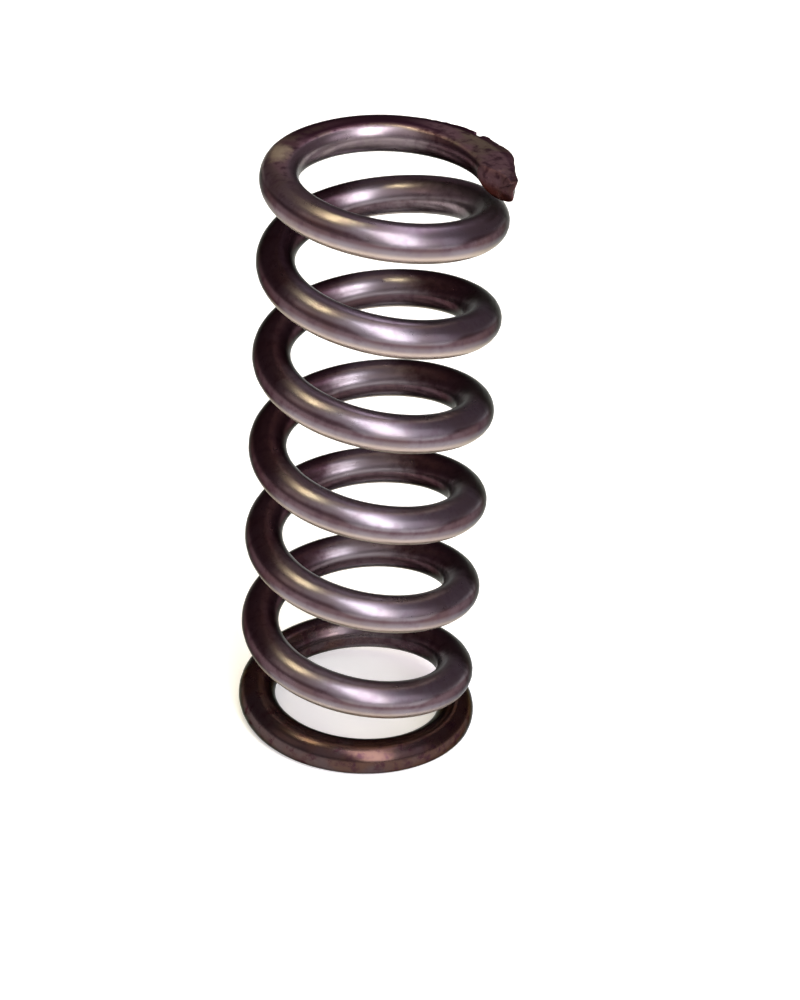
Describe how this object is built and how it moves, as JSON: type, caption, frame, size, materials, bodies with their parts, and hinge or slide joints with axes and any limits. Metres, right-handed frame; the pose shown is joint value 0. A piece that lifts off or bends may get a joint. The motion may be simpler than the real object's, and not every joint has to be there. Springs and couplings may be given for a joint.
{
  "type": "compression spring",
  "caption": "Left-hand wound compression spring of round steel wire with closed ends ground flat, for a carburettor's adjusting screw.",
  "frame": {"origin": "on the coil's axis, in the plane of the lower ground end that it stands on", "axes": "+Z along the coil's axis, from the end it stands on to the upper end; +X passes close to where both wire ends lie"},
  "size_m": [0.0071, 0.007, 0.018],
  "materials": {
    "spring_steel": "dark oiled spring wire, worn to bare metal on its crowns and browned by rust at the ends"
  },
  "bodies": {
    "root": {"carburetor_spring": "spring_steel"}
  },
  "joints": []
}
